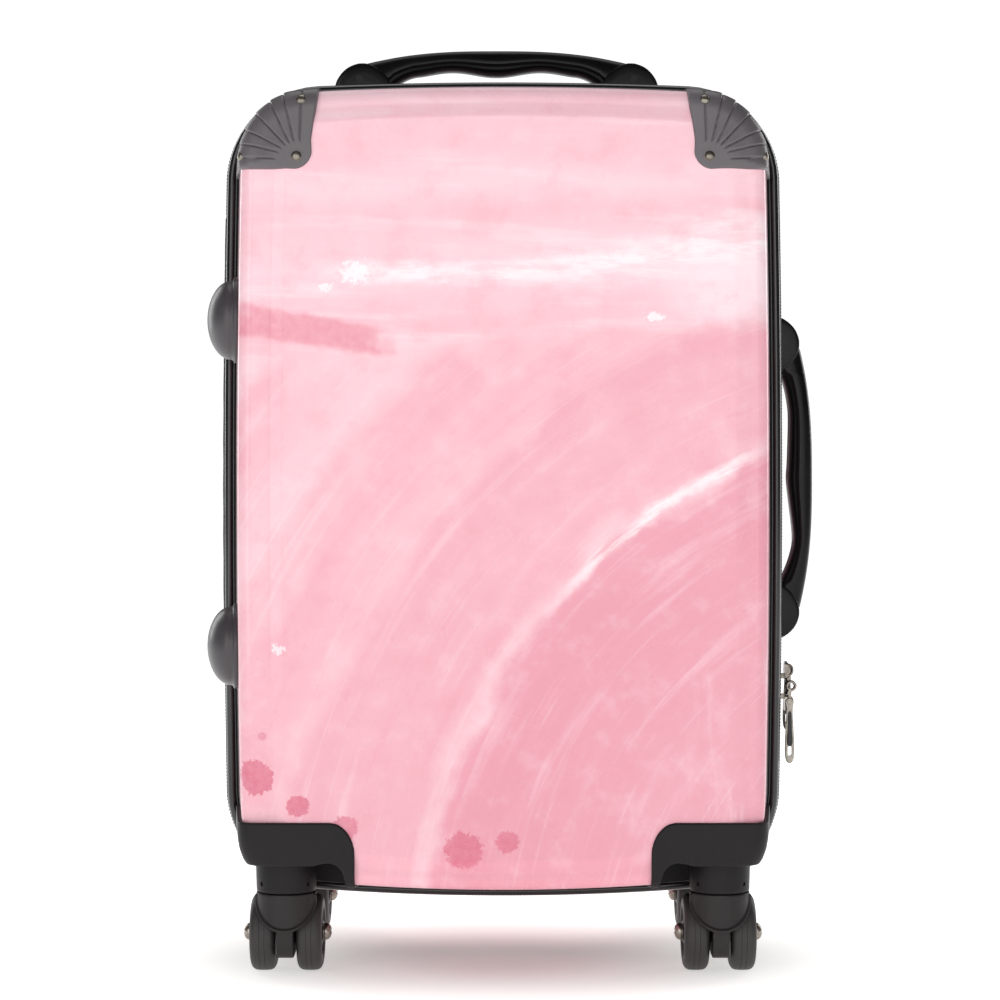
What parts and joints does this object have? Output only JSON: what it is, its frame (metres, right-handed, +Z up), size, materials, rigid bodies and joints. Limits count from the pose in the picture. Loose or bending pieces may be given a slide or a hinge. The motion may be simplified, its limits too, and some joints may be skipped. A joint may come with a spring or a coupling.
{
  "type": "hard shell suitcase",
  "caption": "Upright hard shell cabin suitcase with a side-hinged front shell, zip closure, carry handles, telescopic pull handle and twin-wheel swivel casters.",
  "frame": {"origin": "on the floor, under the centre of the closed case's overall box", "axes": "+X to the right when facing the front shell, -Y out of the front shell, +Z up"},
  "size_m": [0.3672, 0.218, 0.5546],
  "materials": {
    "pink_shell": "glossy printed film over polycarbonate",
    "black_gloss": "glossy",
    "zip_black": "woven tape with moulded teeth",
    "hinge_fabric": "woven",
    "lining_fabric": "thin woven polyester",
    "guard_grey": "satin moulded",
    "bright_metal": "polished",
    "foot_black": "satin",
    "housing_black": "fine moulded texture",
    "steel": "plated",
    "strap_webbing": "woven webbing",
    "grip_black": "soft touch",
    "aluminium": "anodised",
    "button_grey": "satin",
    "nickel": "dark nickel plate",
    "wheel_rubber": "satin"
  },
  "bodies": {
    "case": {"rear_shell": "pink_shell", "rear_trim": "black_gloss", "rear_zip_tape": "zip_black", "rear_hinge_strip": "hinge_fabric", "rear_lining": "lining_fabric", "rear_back_panel": "lining_fabric", "rear_corner_guards": "guard_grey", "rear_guard_rivets": "bright_metal", "rear_side_feet": "foot_black", "rear_wheel_housing_left": "housing_black", "rear_wheel_housing_right": "housing_black", "rear_swivel_pins": "steel", "packing_straps": "strap_webbing", "strap_buckle": "housing_black", "top_handle_brackets": "housing_black", "side_handle_brackets": "housing_black", "handle_pins": "steel", "handle_screws": "steel", "trolley_bezel": "housing_black", "trolley_outer_tubes": "aluminium", "trolley_base_bracket": "housing_black"},
    "lid": {"front_shell": "pink_shell", "front_trim": "black_gloss", "front_zip_tape": "zip_black", "front_hinge_strip": "hinge_fabric", "front_lining": "lining_fabric", "front_corner_guard_left": "guard_grey", "front_corner_guard_right": "guard_grey", "front_guard_rivets": "bright_metal", "front_side_feet": "foot_black", "front_wheel_housing_left": "housing_black", "front_wheel_housing_right": "housing_black", "front_swivel_pins": "steel"},
    "top_handle": {"top_handle_grip": "grip_black"},
    "side_handle": {"side_handle_grip": "grip_black"},
    "trolley_middle": {"trolley_middle_tubes": "aluminium"},
    "trolley_inner": {"trolley_inner_tubes": "aluminium", "trolley_grip": "housing_black"},
    "trolley_push_button": {"trolley_button": "button_grey"},
    "slider_upper": {"zip_slider_upper": "nickel"},
    "slider_lower": {"zip_slider_lower": "nickel"},
    "pull_upper": {"zip_pull_upper": "nickel"},
    "pull_lower": {"zip_pull_lower": "nickel"},
    "front_left_caster": {"front_left_fork": "housing_black", "front_left_axle": "steel"},
    "front_left_wheel_outer": {"front_left_wheel_outer": "wheel_rubber"},
    "front_left_wheel_inner": {"front_left_wheel_inner": "wheel_rubber"},
    "front_right_caster": {"front_right_fork": "housing_black", "front_right_axle": "steel"},
    "front_right_wheel_outer": {"front_right_wheel_outer": "wheel_rubber"},
    "front_right_wheel_inner": {"front_right_wheel_inner": "wheel_rubber"},
    "rear_left_caster": {"rear_left_fork": "housing_black", "rear_left_axle": "steel"},
    "rear_left_wheel_outer": {"rear_left_wheel_outer": "wheel_rubber"},
    "rear_left_wheel_inner": {"rear_left_wheel_inner": "wheel_rubber"},
    "rear_right_caster": {"rear_right_fork": "housing_black", "rear_right_axle": "steel"},
    "rear_right_wheel_outer": {"rear_right_wheel_outer": "wheel_rubber"},
    "rear_right_wheel_inner": {"rear_right_wheel_inner": "wheel_rubber"}
  },
  "joints": [
    {"name": "lid_hinge", "type": "hinge", "parent": "case", "child": "lid", "pos_m": [-0.1802, 0, 0.28365], "axis": [0, 0, -1], "range_deg": [0, 165]},
    {"name": "top_handle_lift", "type": "slide", "parent": "case", "child": "top_handle", "axis": [0, 0, 1], "range_m": [0, 0.0095], "stiffness_N_per_m": 400},
    {"name": "side_handle_lift", "type": "slide", "parent": "case", "child": "side_handle", "axis": [1, 0, 0], "range_m": [0, 0.0095], "stiffness_N_per_m": 400},
    {"name": "trolley_lower_stage", "type": "slide", "parent": "case", "child": "trolley_middle", "axis": [0, 0, 1], "range_m": [0, 0.24]},
    {"name": "trolley_upper_stage", "type": "slide", "parent": "trolley_middle", "child": "trolley_inner", "axis": [0, 0, 1], "range_m": [0, 0.24]},
    {"name": "trolley_button_press", "type": "slide", "parent": "trolley_inner", "child": "trolley_push_button", "axis": [0, 0, -1], "range_m": [0, 0.0025], "stiffness_N_per_m": 400},
    {"name": "slider_upper_travel", "type": "slide", "parent": "case", "child": "slider_upper", "axis": [0, 0, 1], "range_m": [0, 0.2]},
    {"name": "slider_lower_travel", "type": "slide", "parent": "case", "child": "slider_lower", "axis": [0, 0, -1], "range_m": [0, 0.04]},
    {"name": "pull_upper_swing", "type": "hinge", "parent": "slider_upper", "child": "pull_upper", "pos_m": [0.16527, 0.00595, 0.171], "axis": [0, -1, 0], "range_deg": [0, 150]},
    {"name": "pull_lower_swing", "type": "hinge", "parent": "slider_lower", "child": "pull_lower", "pos_m": [0.16527, -0.00595, 0.152], "axis": [0, -1, 0], "range_deg": [0, 150]},
    {"name": "front_left_swivel", "type": "hinge", "parent": "lid", "child": "front_left_caster", "pos_m": [-0.135, -0.071, 0.045], "axis": [0, 0, 1], "continuous": true},
    {"name": "front_left_wheel_outer_spin", "type": "hinge", "parent": "front_left_caster", "child": "front_left_wheel_outer", "pos_m": [-0.14865, -0.061, 0.0223], "axis": [1, 0, 0], "continuous": true},
    {"name": "front_left_wheel_inner_spin", "type": "hinge", "parent": "front_left_caster", "child": "front_left_wheel_inner", "pos_m": [-0.12135, -0.061, 0.0223], "axis": [1, 0, 0], "continuous": true},
    {"name": "front_right_swivel", "type": "hinge", "parent": "lid", "child": "front_right_caster", "pos_m": [0.117, -0.071, 0.045], "axis": [0, 0, 1], "continuous": true},
    {"name": "front_right_wheel_outer_spin", "type": "hinge", "parent": "front_right_caster", "child": "front_right_wheel_outer", "pos_m": [0.13065, -0.061, 0.0223], "axis": [1, 0, 0], "continuous": true},
    {"name": "front_right_wheel_inner_spin", "type": "hinge", "parent": "front_right_caster", "child": "front_right_wheel_inner", "pos_m": [0.10335, -0.061, 0.0223], "axis": [1, 0, 0], "continuous": true},
    {"name": "rear_left_swivel", "type": "hinge", "parent": "case", "child": "rear_left_caster", "pos_m": [-0.141, 0.071, 0.045], "axis": [0, 0, 1], "continuous": true},
    {"name": "rear_left_wheel_outer_spin", "type": "hinge", "parent": "rear_left_caster", "child": "rear_left_wheel_outer", "pos_m": [-0.15465, 0.081, 0.0223], "axis": [1, 0, 0], "continuous": true},
    {"name": "rear_left_wheel_inner_spin", "type": "hinge", "parent": "rear_left_caster", "child": "rear_left_wheel_inner", "pos_m": [-0.12735, 0.081, 0.0223], "axis": [1, 0, 0], "continuous": true},
    {"name": "rear_right_swivel", "type": "hinge", "parent": "case", "child": "rear_right_caster", "pos_m": [0.123, 0.071, 0.045], "axis": [0, 0, 1], "continuous": true},
    {"name": "rear_right_wheel_outer_spin", "type": "hinge", "parent": "rear_right_caster", "child": "rear_right_wheel_outer", "pos_m": [0.13665, 0.081, 0.0223], "axis": [1, 0, 0], "continuous": true},
    {"name": "rear_right_wheel_inner_spin", "type": "hinge", "parent": "rear_right_caster", "child": "rear_right_wheel_inner", "pos_m": [0.10935, 0.081, 0.0223], "axis": [1, 0, 0], "continuous": true}
  ]
}
